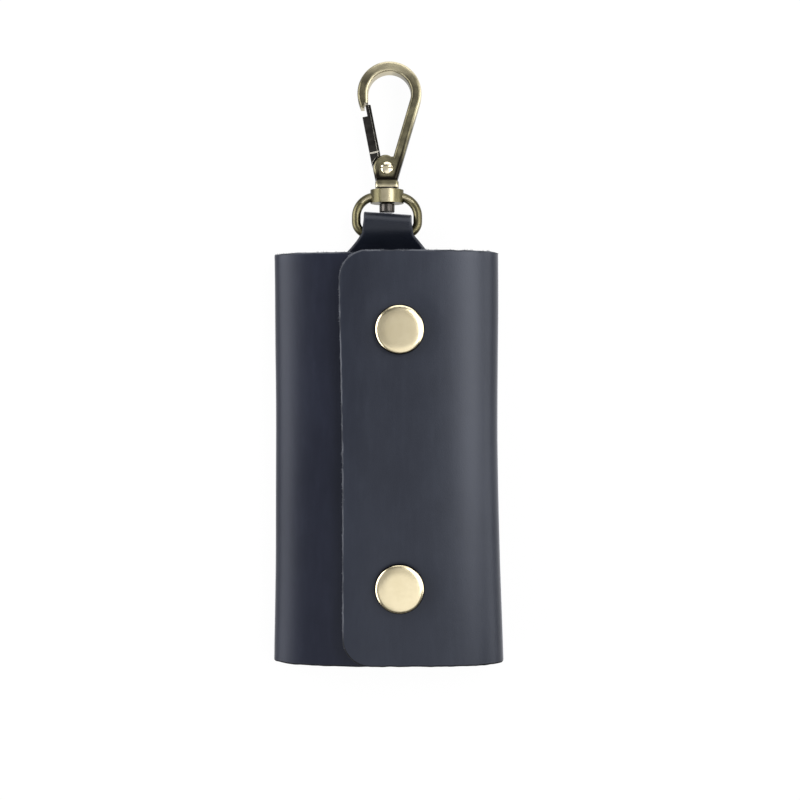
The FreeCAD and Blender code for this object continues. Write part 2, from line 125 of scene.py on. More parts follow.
# How uneven the cut is
ragged = 0.14 * MM
ragged_length = 1.9 * MM
ragged_reach = 2.5 * MM

# The three skins of a cut sheet, by the number of their finish
grain_skin = 0
cut_skin = 1
flesh_skin = 2

# Loose fibres on the cut edges: so many to the square metre, and none close to the floor
fibre_density = 7.0e6
fibre_length = 0.5 * MM
fibre_width = 0.07 * MM
fibre_patch = 420.0
fibre_floor = 3.0 * MM
fibre_sides = 4
fibre_lean = (0.9, 0.9, 0.0)
fibre_least = 0.3
fibre_most = 1.0

# Strap: the top and low values are heights along Y
strap = 1.4 * MM
strap_half = 6.25 * MM
strap_root_half = 11.0 * MM
strap_ease = 0.4 * MM
strap_ease_top = 61.5 * MM
strap_ease_low = 57.5 * MM
strap_flare_top = 57.6 * MM
strap_flare_low = 52.6 * MM
strap_flare_power = 1.15
strap_slope_top = 60.4 * MM
strap_slope_low = 50.9 * MM
strap_under_shift = -0.75 * MM
strap_skew_share = 0.07
strap_skew_low = 55.0 * MM

# Hardware: the collar, base and eye values are heights along Y
cap_height = 2.2 * MM
cap_waist = 0.6 * MM
cap_power = 4.4
cap_rings = 72
cap_spokes = 97
cap_dome_share = 0.7
cap_foot_share = 0.92
# The cap's rim is painted dark with shade between these turns over its crown
cap_rim_low = math.radians(61.0)
cap_rim_high = math.radians(69.0)
rivet_head_r = 3.0 * MM
rivet_head = 0.7 * MM
rivet_ease = 0.05 * MM
recess_sides = 64
boss_height = 3.5 * MM
collar_lip = 0.6 * MM
collar_top = 71.47 * MM
base_low = 72.22 * MM
base_top = 79.0 * MM
eye_bright_low = 95.0 * MM
eye_bright_high = 101.0 * MM
merge_gap = 0.001 * MM

# Camera, from the photograph: 200 mm across the frame at the front face
camera_place = Vector((3.2 * MM, 14.6 * MM, 319.0 * MM))
camera_lens = 54.0
camera_sensor = 36.0
camera_near = 10.0 * MM

# Soft panels: place, aim (straight down where none is given), size and brightness, in metres
case_middle = (0.0, 0.02, 0.01)
case_foot = (0.0, -0.03, 0.01)
soft_panels = {
    "front_panel": ((0.13, -0.24, 0.42), None, (0.36, 0.40), 1.2),
    "overhead_panel": ((0.13, 0.035, 0.42), None, (0.35, 0.15), 0.68),
    "high_panel": ((0.13, 0.19, 0.42), None, (0.35, 0.16), 0.40),
    "right_window": ((0.238, 0.10, 0.382), case_middle, (0.40, 0.21), 5.6),
    "right_side_panel": ((0.464, 0.05, 0.197), case_middle, (0.50, 0.26), 3.1),
    "left_panel": ((-0.17, -0.03, 0.42), None, (0.24, 0.46), 0.4),
    "left_front_panel": ((-0.12, -0.26, 0.41), None, (0.14, 0.36), 0.7),
    "left_window": ((-0.43, 0.145, 0.225), case_middle, (0.39, 0.33), 5.8),
    "left_low_window": ((-0.43, -0.19, 0.195), case_foot, (0.29, 0.31), 4.2),
    "top_window": ((0.05, 0.47, 0.22), case_middle, (0.50, 0.34), 2.2),
}
room_light = 0.12

# Floor
floor_half = 3.0
floor_gap = 0.05 * MM
floor_rough = 0.9
floor_white_share = 0.95


class Field:
    """A node's output. Used in a sum or a product, it adds the Math node that works it out."""

    def __init__(self, graph, socket):
        self.graph = graph
        self.socket = socket

    def math(self, operation, *values):
        sockets = dict(enumerate(values))
        return self.graph.node("ShaderNodeMath", {"operation": operation}, sockets)

    def __add__(self, other):
        return self.math("ADD", self, other)

    def __sub__(self, other):
        return self.math("SUBTRACT", self, other)

    def __rsub__(self, other):
        return self.math("SUBTRACT", other, self)

    def __mul__(self, other):
        return self.math("MULTIPLY", self, other)

    def __truediv__(self, other):
        return self.math("DIVIDE", self, other)

    def __pow__(self, other):
        return self.math("POWER", self, other)

    __radd__ = __add__
    __rmul__ = __mul__

    def most(self, other):
        return self.math("MAXIMUM", self, other)

    def sine(self):
        return self.math("SINE", self)

    def cosine(self):
        return self.math("COSINE", self)

    def share(self, low, high, kind="LINEAR"):
        sockets = {"Value": self, "From Min": low, "From Max": high}
        return self.graph.node("ShaderNodeMapRange", {"interpolation_type": kind}, sockets)

    def step(self, low, high):
        return self.share(low, high, "SMOOTHSTEP")


class Graph:
    """A node tree that is put together from expressions."""

    def __init__(self, tree):
        self.tree = tree

    def node(self, kind, settings=None, sockets=None, out=0):
        made = self.tree.nodes.new(kind)
        for name, value in (settings or {}).items():
            setattr(made, name, value)
        for name, value in (sockets or {}).items():
            self.feed(made.inputs[name], value)
        return Field(self, made.outputs[out])

    def feed(self, socket, value):
        if isinstance(value, Field):
            self.tree.links.new(value.socket, socket)
        else:
            socket.default_value = value


class Build(Graph):
    """A Geometry Nodes tree with named sizes, run on a base mesh to make one plain piece."""

    def __init__(self, name, sizes):
        super().__init__(bpy.data.node_groups.new(name, "GeometryNodeTree"))
        plugs = self.tree.interface
        plugs.new_socket("Base", in_out="INPUT", socket_type="NodeSocketGeometry")
        self.sizes = sizes
        self.ids = {}
        for size in sizes:
            self.ids[size] = plugs.new_socket(size, in_out="INPUT", socket_type="NodeSocketFloat").identifier
        plugs.new_socket("Made", in_out="OUTPUT", socket_type="NodeSocketGeometry")
        self.entry = self.tree.nodes.new("NodeGroupInput")

    def given(self, name):
        return Field(self, self.entry.outputs[name])

    def made(self, name, base, geometry, finish):
        whole = self.node("GeometryNodeRealizeInstances", None, {"Geometry": geometry})
        covered = self.node("GeometryNodeSetMaterial", None, {"Geometry": whole, "Material": finish})
        self.feed(self.tree.nodes.new("NodeGroupOutput").inputs["Made"], covered)
        piece = new_piece(name, base)
        run = piece.modifiers.new("build", "NODES")
        run.node_group = self.tree
        for size, value in self.sizes.items():
            run[self.ids[size]] = value
        converted(piece)
        return piece


class Finish(Graph):
    """A material whose colour, roughness and bump follow the surface."""

    def __init__(self, name, constants=None):
        self.material = bpy.data.materials.new(name)
        self.material.use_nodes = True
        super().__init__(self.material.node_tree)
        self.shader = self.tree.nodes["Principled BSDF"]
        for socket, value in (constants or {}).items():
            self.shader.inputs[socket].default_value = value

    def surface(self, base, roughness, height=None, depth=None):
        self.feed(self.shader.inputs["Base Color"], base)
        self.feed(self.shader.inputs["Roughness"], roughness)
        if height is not None:
            sockets = {"Height": height, "Distance": depth}
            self.feed(self.shader.inputs["Normal"], self.node("ShaderNodeBump", None, sockets))
        return self.material

    def on_object(self):
        return self.node("ShaderNodeTexCoord", out="Object")

    def on_leather(self):
        return self.node("ShaderNodeUVMap", {"uv_map": "cut"})

    def attribute(self, name):
        return self.node("ShaderNodeAttribute", {"attribute_name": name}, out="Fac")

    def stretched(self, place, scale):
        return self.node("ShaderNodeMapping", None, {"Vector": place, "Scale": scale})

    def grain(self, place, scale, detail, roughness):
        sockets = {"Vector": place, "Scale": scale, "Detail": detail, "Roughness": roughness}
        return self.node("ShaderNodeTexNoise", None, sockets)

    def cells(self, place, scale):
        sockets = {"Vector": place, "Scale": scale}
        return self.node("ShaderNodeTexVoronoi", {"feature": "F1"}, sockets, "Distance")

    def mix(self, share, first, second):
        """A colour between two. A Mix node's colours are its sockets 6 and 7, and come out of socket 2."""
        sockets = {0: share, 6: first, 7: second}
        return self.node("ShaderNodeMix", {"data_type": "RGBA"}, sockets, 2)


def colour(red, green, blue):
    return (red, green, blue, 1.0)


# Finishes

# Thresholds of the metal's marks: wear and painted highlights above zero, painted shade below
rub_and_light_low = 0.15
rub_and_light_high = 0.75
plate_depth = 0.004 * MM


def grain_leather(name, deep, pale, gloss):
    """Waxed grain: clouded, streaked and pored, paler where an edge wears but kept dark near the lower edges
    as painted shade, with a few specks of dust.
    """
    cloud_share = 0.5
    streak_share = 0.3
    edge_mark_share = 0.5
    dust_share = 0.5
    pore_share = 0.6
    fine_share = 0.4
    least_rough = 0.30
    fine_rough = 0.08
    streak_rough = 0.06
    worn_polish = 0.05
    grain_depth = 0.012 * MM
    finish = Finish(name, {
        "Specular IOR Level": gloss, "Specular Tint": wax_tint,
        "Sheen Weight": 0.4, "Sheen Roughness": 0.3, "Sheen Tint": sheen_tint,
    })
    place = finish.on_leather()
    streaked = finish.stretched(place, (9.0, 1.6, 1.0))
    cloud = finish.grain(place, scale=3.5, detail=4.0, roughness=0.55)
    pores = finish.cells(place, scale=230.0)
    fine = finish.grain(place, scale=420.0, detail=2.0, roughness=0.6)
    streaks = finish.grain(streaked, scale=6.0, detail=5.0, roughness=0.6)
    specks = 1 - finish.cells(place, scale=7.0).step(0.004, 0.011)
    worn_and_lit = finish.attribute("edge_wear_and_shade")
    tone = cloud.step(0.34, 0.68) * cloud_share + streaks.step(0.4, 0.75) * streak_share + worn_and_lit * edge_mark_share
    base = finish.mix(specks * dust_share, finish.mix(tone, deep, pale), dust_grey)
    rough = least_rough + fine * fine_rough + streaks * streak_rough - worn_and_lit * worn_polish
    height = pores.step(0.0, 0.55) * pore_share + fine * fine_share
    return finish.surface(base, rough, height, grain_depth)


def flesh_leather():
    """The rough inner side of the leather."""
    nap_share = 0.6
    cloud_share = 0.4
    least_rough = 0.82
    nap_rough = 0.12
    nap_depth = 0.12 * MM
    finish = Finish("flesh_leather", {"Specular IOR Level": 0.2, "Sheen Weight": 0.25})
    place = finish.on_leather()
    nap = finish.grain(place, scale=260.0, detail=4.0, roughness=0.7)
    cloud = finish.grain(place, scale=7.0, detail=3.0, roughness=0.5)
    base = finish.mix(nap * nap_share + cloud * cloud_share, *nap_grey)
    return finish.surface(base, least_rough + nap * nap_rough, nap, nap_depth)


def cut_edge_leather():
    """A raw cut edge: frayed and paler in patches where it wears, and black as painted shade along the lower
    edges, where the edge mark fades.
    """
    least_rough = 0.6
    fibre_rough = 0.25
    fibre_depth = 0.1 * MM
    finish = Finish("cut_edge_leather", {"Specular IOR Level": 0.2})
    place = finish.on_object()
    fibre = finish.grain(place, scale=2600.0, detail=4.0, roughness=0.65)
    patch = finish.grain(place, scale=240.0, detail=3.0, roughness=0.5)
    frayed = finish.mix(patch.step(0.35, 0.7), *frayed_grey)
    # Black here is painted shade, where the edge mark has faded near the bottom
    base = finish.mix(finish.attribute("edge_wear_and_shade"), painted_shade_black, frayed)
    return finish.surface(base, least_rough + fibre * fibre_rough, fibre, fibre_depth)


def fibre_leather():
    least_rough = 0.75
    tint_rough = 0.2
    finish = Finish("fibre_leather", {"Specular IOR Level": 0.15})
    tint = finish.grain(finish.on_object(), scale=900.0, detail=2.0, roughness=0.5)
    base = finish.mix(tint.step(0.3, 0.7), *fibre_grey)
    return finish.surface(base, least_rough + tint * tint_rough)


def brass(name, dark, bright, rough, haze=1.0):
    """Plated brass: clouded on its broad faces, paler where it wears and where highlights are painted, and
    painted dark with shade where its mark is negative: grooves, shaded ends and rims.
    """
    least_rub_and_light = 0.75
    cloud_rub_and_light = 0.4
    cloud_rough = 0.08
    brush_rough = 0.06
    cloud_height = 0.4
    finish = Finish(name, {"Metallic": 1.0})
    place = finish.on_object()
    brushed = finish.stretched(place, (1.0, 6.0, 1.0))
    cloud = finish.grain(place, scale=260.0, detail=4.0, roughness=0.6)
    brush = finish.grain(brushed, scale=1900.0, detail=3.0, roughness=0.6)
    face = finish.mix(cloud.step(0.3, 0.72), dark, bright)
    rub_and_light = finish.attribute("rubbed_and_lit")
    worn_and_lit = rub_and_light.step(rub_and_light_low, rub_and_light_high) * (least_rub_and_light + cloud * cloud_rub_and_light)
    # A negative mark paints the brass dark with shade
    painted_shade = (0 - rub_and_light).step(rub_and_light_low, rub_and_light_high)
    base = finish.mix(painted_shade, finish.mix(worn_and_lit, face, pale_brass), painted_shade_brown)
    dull = rough + cloud * (cloud_rough * haze) + brush * (brush_rough * haze)
    return finish.surface(base, dull, brush + cloud * cloud_height, plate_depth * haze)


def steel(name, dark, bright, rough):
    """Plated or bare steel: clouded, finely scratched, and paler where it wears and where highlights are
    painted.
    """
    least_rub_and_light = 0.6
    cloud_rub_and_light = 0.6
    scratch_rough = 0.12
    finish = Finish(name, {"Metallic": 1.0})
    place = finish.on_object()
    scratched = finish.stretched(place, (5.0, 1.0, 1.0))
    cloud = finish.grain(place, scale=420.0, detail=4.0, roughness=0.6)
    scratch = finish.grain(scratched, scale=2400.0, detail=3.0, roughness=0.6)
    face = finish.mix(cloud.step(0.3, 0.75), dark, bright)
    worn_and_lit = finish.attribute("rubbed_and_lit").step(rub_and_light_low, rub_and_light_high) * (least_rub_and_light + cloud * cloud_rub_and_light)
    base = finish.mix(worn_and_lit, face, pale_steel)
    return finish.surface(base, rough + scratch * scratch_rough, scratch, plate_depth)


# Colours: a single one, or the two that a finish is clouded between
wax_tint = colour(0.82, 0.86, 0.96)
sheen_tint = colour(0.82, 0.86, 1.0)
dust_grey = colour(0.16, 0.17, 0.19)
# Painted shade on the lower cut edges
painted_shade_black = colour(0.004, 0.0045, 0.006)
# Painted shade on the metal: grooves, the boss's left end and the caps' rims
painted_shade_brown = colour(0.013, 0.0112, 0.0082)
pale_brass = colour(0.76, 0.68, 0.47)
pale_steel = colour(0.62, 0.59, 0.52)
floor_white = colour(0.82, 0.82, 0.82)
pure_white = colour(1.0, 1.0, 1.0)
navy = (colour(0.0046, 0.0060, 0.0120), colour(0.0115, 0.0140, 0.0226))
# The inner flap's navy: a darker copy of the case's, painted shade
shaded_navy = (colour(0.0036, 0.0046, 0.0110), colour(0.0090, 0.0108, 0.0210))
# The loop's navy: a darker copy of the case's, painted shade
shaded_tab_navy = (colour(0.0016, 0.0025, 0.0056), colour(0.0050, 0.0068, 0.0125))
nap_grey = (colour(0.022, 0.025, 0.034), colour(0.062, 0.067, 0.082))
frayed_grey = (colour(0.024, 0.027, 0.036), colour(0.085, 0.091, 0.108))
fibre_grey = (colour(0.06, 0.065, 0.08), colour(0.20, 0.21, 0.235))
gilt = (colour(0.69, 0.60, 0.40), colour(0.73, 0.64, 0.44))
ring_olive = (colour(0.088, 0.079, 0.043), colour(0.127, 0.115, 0.064))
hook_olive = (colour(0.092, 0.083, 0.054), colour(0.205, 0.185, 0.112))
screw_gold = (colour(0.66, 0.58, 0.40), colour(0.82, 0.75, 0.57))
snap_gold = (colour(0.34, 0.28, 0.18), colour(0.52, 0.44, 0.30))
dark_grey = (colour(0.033, 0.030, 0.027), colour(0.078, 0.072, 0.066))
gate_grey = (colour(0.018, 0.0171, 0.0161), colour(0.040, 0.0374, 0.0347))
nickel_grey = (colour(0.52, 0.51, 0.49), colour(0.70, 0.69, 0.66))
spring_grey = (colour(0.36, 0.36, 0.37), colour(0.52, 0.52, 0.53))
finishes = {
    "leather": grain_leather("grain_leather", *navy, gloss=0.41),
    # The inner flap and the loop take darker copies of the leather as painted shade
    "under_leather": grain_leather("under_leather", *shaded_navy, gloss=0.27),
    "shaded_tab": grain_leather("tab_leather", *shaded_tab_navy, gloss=0.40),
    "flesh": flesh_leather(),
    "cut_edge": cut_edge_leather(),
    "fibre": fibre_leather(),
    "cap_brass": brass("cap_brass", *gilt, rough=0.2, haze=0.3),
    "ring_brass": brass("ring_brass", *ring_olive, rough=0.28),
    "antique_brass": brass("antique_brass", *hook_olive, rough=0.27),
    "screw_brass": brass("screw_brass", *screw_gold, rough=0.16, haze=0.4),
    "snap_brass": brass("snap_brass", *snap_gold, rough=0.30),
    "gunmetal": steel("gunmetal", *dark_grey, rough=0.26),
    "gate_steel": steel("gate_steel", *gate_grey, rough=0.32),
    "nickel": steel("nickel", *nickel_grey, rough=0.22),
    "spring_steel": steel("spring_steel", *spring_grey, rough=0.25),
}


# Pieces

def new_piece(name, mesh):
    piece = bpy.data.objects.new(name, mesh)
    bpy.context.scene.collection.objects.link(piece)
    return piece


def converted(piece):
    """Works a piece's modifiers into its mesh."""
    made = bpy.data.meshes.new_from_object(piece.evaluated_get(bpy.context.evaluated_depsgraph_get()))
    piece.modifiers.clear()
    piece.data = made


def smooth_share(value, low, high):
    """How far a value has come from low to high, eased at both ends."""
    t = np.clip((value - low) / (high - low), 0.0, 1.0)
    return t * t * (3 - 2 * t)


# Cut leather

def rim_levels(thick):
    """How far in and how deep the sheet's edge lies, from its grain side round to its flesh side."""
    levels = []
    for step in range(rim_steps + 1):
        turn = math.radians(90.0 * step / rim_steps)
        levels.append((grain_round * (1 - math.sin(turn)), grain_round * (1 - math.cos(turn))))
    for step in range(rim_steps + 1):
        turn = math.radians(90.0 * step / rim_steps)
        levels.append((flesh_round * (1 - math.cos(turn)), thick - flesh_round * (1 - math.sin(turn))))
    return levels


def rim_walk(wide, tall, closed):
    """The grid points round a sheet's edge, in order. An open walk leaves out the side that has a seam."""
    walk = [(column, tall - 1) for column in range(wide)]
    walk += [(wide - 1, row) for row in range(tall - 2, -1, -1)]
    walk += [(column, 0) for column in range(wide - 2, -1, -1)]
    if closed:
        walk += [(0, row) for row in range(1, tall - 1)]
    return walk


def mark_sheet(mesh, flats, edge_distance, seam_side):
    """Stores how near each point is to an edge that wears, faded out towards the bottom as painted shade,
    and where it lies on the flat leather.
    """
    near = mesh.attributes.new("edge_wear_and_shade", "FLOAT", "POINT")
    # Painted shade: the edge mark fades out towards the bottom, leaving the lower edges dark
    worn_and_lit = smooth_share(flats[:, 1], shaded_edges_below, worn_edges_above)
    near.data.foreach_set("value", worn_and_lit * np.exp(-edge_distance(flats[:, 0], flats[:, 1]) / wear_reach))
    loops = np.zeros(len(mesh.loops), np.int32)
    mesh.loops.foreach_get("vertex_index", loops)
    layer = mesh.uv_layers.new(name="cut")
    layer.data.foreach_set("uv", (flats[loops] / uv_length * (seam_side or 1, 1)).ravel())


def cut_sheet(name, across, along, flat, fold, edge_distance, thick, skin, seam_side=0):
    """A sheet of leather: a grid on each side and a rounded rim, cut flat and then folded.

    A sheet with a seam side is closed there by one flat face, with sharp edges, in the back's middle.
    """
    wide = len(across)
    tall = len(along)
    grid_a, grid_b = (g.ravel() for g in np.meshgrid(across, along))
    rim = rim_walk(wide, tall, not seam_side)
    rim_a = np.array([across[c] for c, r in rim])
    rim_b = np.array([along[r] for c, r in rim])
    levels = rim_levels(thick)
    deepest = len(levels) - 1
    flats = []
    places = []
    starts = []
    rim_ids = []
    count = 0
    for number, (inset, depth) in enumerate(levels):
        whole = number in (0, deepest)
        a, b = (grid_a, grid_b) if whole else (rim_a, rim_b)
        s, w = flat(a, b, inset)
        flats.append(np.stack([s, w], 1))
        places.append(fold(s, w, depth))
        ids = [r * wide + c for c, r in rim] if whole else range(len(rim))
        rim_ids.append([count + i for i in ids])
        starts.append(count)
        count += len(a)
    faces = []
    skins = []
    for number, skin_id in ((0, grain_skin), (deepest, flesh_skin)):
        for row in range(tall - 1):
            for column in range(wide - 1):
                first = starts[number] + row * wide + column
                faces.append((first, first + 1, first + wide + 1, first + wide))
                skins.append(skin_id)
    spans = len(rim) - 1 if seam_side else len(rim)
    for outer, inner in zip(rim_ids, rim_ids[1:]):
        for i in range(spans):
            j = (i + 1) % len(rim)
            faces.append((outer[i], outer[j], inner[j], inner[i]))
            skins.append(cut_skin)
    if seam_side:
        grain_side = [starts[0] + row * wide for row in range(tall)]
        flesh_side = [starts[-1] + row * wide for row in range(tall - 1, -1, -1)]
        top = [ids[0] for ids in rim_ids[1:-1]]
        bottom = [ids[-1] for ids in rim_ids[-2:0:-1]]
        faces.append(tuple(grain_side + top + flesh_side + bottom))
        skins.append(flesh_skin)
    mesh = bpy.data.meshes.new(name)
    mesh.from_pydata(np.concatenate(places).tolist(), [], faces)
    for finish in skin:
        mesh.materials.append(finish)
    mesh.polygons.foreach_set("material_index", skins)
    mark_sheet(mesh, np.concatenate(flats), edge_distance, seam_side)
    mesh.shade_smooth()
    sheet = bmesh.new()
    sheet.from_mesh(mesh)
    bmesh.ops.recalc_face_normals(sheet, faces=sheet.faces)
    if seam_side:
        sheet.faces.ensure_lookup_table()
        for edge in sheet.faces[-1].edges:
            edge.smooth = False
    sheet.to_mesh(mesh)
    sheet.free()
    return new_piece(name, mesh)


def flowing(u, v, length, seed):
    """Smooth chance waves over a sheet, between -1 and 1."""
    spots = zip(u / length, v / length)
    return np.array([noise.noise(Vector((a, b, seed))) for a, b in spots])


class Fold:
    """The line that a sheet follows, by its length from its start: the back's seam or the loop's root."""

    def __init__(self, x, z):
        self.x = np.array(x)
        self.z = np.array(z)
        self.s = np.concatenate([[0.0], np.cumsum(np.hypot(np.diff(self.x), np.diff(self.z)))])
        dx = np.gradient(self.x, self.s)
        dz = np.gradient(self.z, self.s)
        size = np.hypot(dx, dz)
        self.out_x = dz / size
        self.out_z = -dx / size
        self.length = self.s[-1]

    def at(self, s):
        return [np.interp(s, self.s, values) for values in (self.x, self.z, self.out_x, self.out_z)]


def wrap_line(nose_x, depth, crown_x, edge_x, power, droop):
    """Half a flattened tube: along the back from its middle, round the side, and over to the free edge."""
    side = math.copysign(1.0, nose_x)
    turn = np.linspace(0.0, math.pi / 2, fold_samples)
    middle = depth / 2
    low_x = nose_x * np.sin(turn) ** (2 / back_power)
    low_z = middle - middle * np.cos(turn) ** (2 / back_power)
    high_x = crown_x + (nose_x - crown_x) * np.cos(turn) ** (2 / power)
    high_z = middle + middle * np.sin(turn) ** (2 / power)
    rest_x = np.linspace(crown_x, edge_x - side * edge_spare, fold_samples)
    past = np.clip(np.abs(rest_x - crown_x) - droop_start, 0.0, None)
    fall = np.abs(edge_x - crown_x) - droop_start
    rest_z = depth - droop * (past / fall) ** 2
    x = np.concatenate([low_x, high_x[1:], rest_x[1:]])
    z = np.concatenate([low_z, high_z[1:], rest_z[1:]])
    line = Fold(x, z)
    line.out_x *= side
    line.out_z *= side
    return line


def right_reach(y):
    """The right side draws in a little at mid height and flares towards the bottom."""
    drawn_in = -0.9 * MM
    flare = 1.45 * MM
    flare_power = 1.3
    flare_start = 5.0 * MM
    top_flare = 0.15 * MM
    down = np.clip((flare_start - y) / (case_top + flare_start), 0.0, 1.0)
    up = np.clip(y / case_top, 0.0, 1.0)
    return drawn_in + flare * down ** flare_power + top_flare * up ** 2


def left_reach(y):
    """The left side draws in a little at mid height and flares towards both ends."""
    drawn_in = 0.2 * MM
    flare = -0.45 * MM
    return drawn_in + flare * (y / case_top) ** 2


def slanted(y):
    """The flap's free edge runs a little further left towards the top."""
    return edge_slant * np.clip((y - slant_start) / slant_run, 0.0, 1.0) ** slant_power


def straight_cut(y):
    return 0.0 * y


def pressed(x, y):
    """How much the leather gives under the snaps: 1 beneath a cap, 0 away from it."""
    give = 0.0
    for low, high in cap_boxes.values():
        away = np.hypot(x - snap_x, y - (low.y + high.y) / 2)
        give = give + 1 - smooth_share(away, press_r * press_full_share, press_r * press_end_share)
    return give


def wrap_panel(name, line, corner_r, reach, slant, tail, nose_x, seed, face):
    """Half the wrap: its ends are straight, its free corners round, and its edges a little ragged."""
    flat_end = line.length - edge_spare
    side = math.copysign(1.0, nose_x)
    straight = case_top - corner_r
    count = round(2 * straight / leather_step)
    turns = [math.radians(90.0 * i / corner_rows) for i in range(1, corner_rows + 1)]
    corner = [straight + corner_r * math.sin(turn) for turn in turns]
    along = [-y for y in reversed(corner)] + list(np.linspace(-straight, straight, count)) + corner
    across = np.linspace(0.0, 1.0, round(flat_end / leather_step))

    def flat(a, b, inset):
        rise = np.clip((np.abs(b) - straight) / corner_r, 0.0, 1.0)
        cosine = np.sqrt(np.clip(1 - rise ** 2, 0.0, 1.0))
        y = np.where(rise > 0, np.sign(b) * (straight + (corner_r - inset) * rise), b)
        s = a * (flat_end - corner_r + (corner_r - inset) * cosine)
        return s, y

    def edge_distance(s, y):
        past_s = np.clip(s - (flat_end - corner_r), 0.0, None)
        past_y = np.clip(np.abs(y) - straight, 0.0, None)
        corner_gap = corner_r - np.hypot(past_s, past_y)
        side_gap = np.minimum(flat_end - s, case_top - np.abs(y))
        return np.clip(np.where((past_s > 0) & (past_y > 0), corner_gap, side_gap), 0.0, None)

    def fold(s, y, depth):
        cut = flowing(s, y, ragged_length, seed + depth / ragged_length) * ragged
        end_cut = cut * smooth_share(s, flat_end - ragged_reach, flat_end)
        side_cut = cut * smooth_share(np.abs(y), case_top - ragged_reach, case_top)
        run = s + end_cut + slant(y) * smooth_share(s, flat_end / 2, flat_end)
        x, z, out_x, out_z = line.at(run)
        give = pressed(x, y) * (z > case_depth / 2)
        wave = flowing(s, y, ripple_length, seed) * ripple * smooth_share(s, ripple_start, ripple_start * 2)
        lift = wave * (1 - give) - press_depth * give
        shift = reach(y) * np.clip(x / nose_x, 0.0, 1.0) ** 2
        side_share = smooth_share(s, flat_end * tail_from_share, flat_end * tail_full_share)
        side_share = side_share * smooth_share(flat_end - s, 0.0, tail_fade)
        drop = tail * smooth_share(-y, case_top - tail_run, case_top) * side_share
        lift = lift - depth
        return np.stack([x + shift + out_x * lift, y + side_cut - drop, z + out_z * lift], 1)

    skin = [finishes[face], finishes["cut_edge"], finishes["flesh"]]
    return cut_sheet(name, across, np.array(along), flat, fold, edge_distance, leather, skin, side)


def rivet_recess(piece, node):
    """A round recess in the back, cut for a rivet's head."""
    low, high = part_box(node)
    deep = low.z + rivet_head + leather
    mesh = bpy.data.meshes.new("recess_cutter")
    cutter = bmesh.new()
    place = Matrix.Translation(((low.x + high.x) / 2, (low.y + high.y) / 2, deep / 2 - leather))
    bmesh.ops.create_cone(
        cutter, cap_ends=True, segments=recess_sides, depth=deep, matrix=place,
        radius1=rivet_head_r + rivet_ease, radius2=rivet_head_r + rivet_ease,
    )
    for face in cutter.faces:
        face.material_index = cut_skin
    cutter.to_mesh(mesh)
    cutter.free()
    for finish in piece.data.materials:
        mesh.materials.append(finish)
    tool = new_piece("recess_cutter", mesh)
    cut = piece.modifiers.new("recess", "BOOLEAN")
    cut.operation = "DIFFERENCE"
    cut.solver = "EXACT"
    cut.object = tool
    converted(piece)
    bpy.data.objects.remove(tool)


def edge_fibres(name, sheet, seed):
    """Loose fibres that stand out of a sheet's cut edge, thicker in patches."""
    sizes = {"Density": fibre_density, "Length": fibre_length, "Width": fibre_width}
    sizes.update({"Patch": fibre_patch, "Floor": fibre_floor})
    build = Build(name, sizes)
    skin = build.node("GeometryNodeInputMaterialIndex")
    same = {"data_type": "INT", "operation": "EQUAL"}
    cut = build.node("FunctionNodeCompare", same, {2: skin, 3: cut_skin})
    patch = build.node("ShaderNodeTexNoise", None, {"Scale": build.given("Patch"), "Detail": 2.0})
    near = {"Name": "edge_wear_and_shade"}
    near = build.node("GeometryNodeInputNamedAttribute", {"data_type": "FLOAT"}, near)
    height = build.node("ShaderNodeSeparateXYZ", None, {0: build.node("GeometryNodeInputPosition")}, "Z")
    raised = height.step(build.given("Floor") / 2, build.given("Floor"))
    density = build.given("Density") * patch.step(0.42, 0.68) * raised * near
    scatter = build.tree.nodes.new("GeometryNodeDistributePointsOnFaces")
    sockets = {"Mesh": build.given("Base"), "Selection": cut, "Density": density, "Seed": seed}
    for socket, value in sockets.items():
        build.feed(scatter.inputs[socket], value)
    sockets = {"Radius Bottom": build.given("Width"), "Depth": build.given("Length")}
    sockets.update({"Vertices": fibre_sides, "Radius Top": 0.0})
    fibre = build.node("GeometryNodeMeshCone", None, sockets)
    tilt = {0: tuple(-v for v in fibre_lean), 1: fibre_lean, "Seed": seed + 1}
    tilt = build.node("FunctionNodeRandomValue", {"data_type": "FLOAT_VECTOR"}, tilt)
    turn = {"Rotation": Field(build, scatter.outputs["Rotation"]), "Rotate By": tilt}
    turn = build.node("FunctionNodeRotateRotation", {"rotation_space": "LOCAL"}, turn)
    grow = {2: fibre_least, 3: fibre_most, "Seed": seed + 2}
    grow = build.node("FunctionNodeRandomValue", {"data_type": "FLOAT"}, grow, 1)
    points = Field(build, scatter.outputs["Points"])
    stand = {"Points": points, "Instance": fibre, "Rotation": turn, "Scale": grow}
    tufts = build.node("GeometryNodeInstanceOnPoints", None, stand)
    return build.made(name, sheet.data.copy(), tufts, finishes["fibre"])


def wrap_leather():
    right_line = wrap_line(outer_high.x, case_depth, snap_x, outer_low.x, outer_power, flap_droop)
    left_line = wrap_line(inner_low.x, inner_depth, snap_x - stud_flat, inner_high.x, inner_power, 0.0)
    right = wrap_panel(
        "wrap_right_leather", right_line, outer_corner_r, right_reach, slanted,
        tail=0.0, nose_x=outer_high.x, seed=1.0, face="leather",
    )
    left = wrap_panel(
        "wrap_left_leather", left_line, inner_corner_r, left_reach, straight_cut,
        tail=left_tail, nose_x=inner_low.x, seed=5.0, face="under_leather",
    )
    rivet_recess(right, "rail_rivet_right")
    rivet_recess(left, "rail_rivet_left")
    right_fibres = edge_fibres("wrap_right_fibres", right, 11)
    left_fibres = edge_fibres("wrap_left_fibres", left, 23)
    for piece in (right, right_fibres):
        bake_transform(piece)
    for piece in (left, left_fibres):
        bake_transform(piece)
    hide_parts("wrap_back", "wrap_outer_flap")
    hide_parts("wrap_back", "wrap_inner_flap")


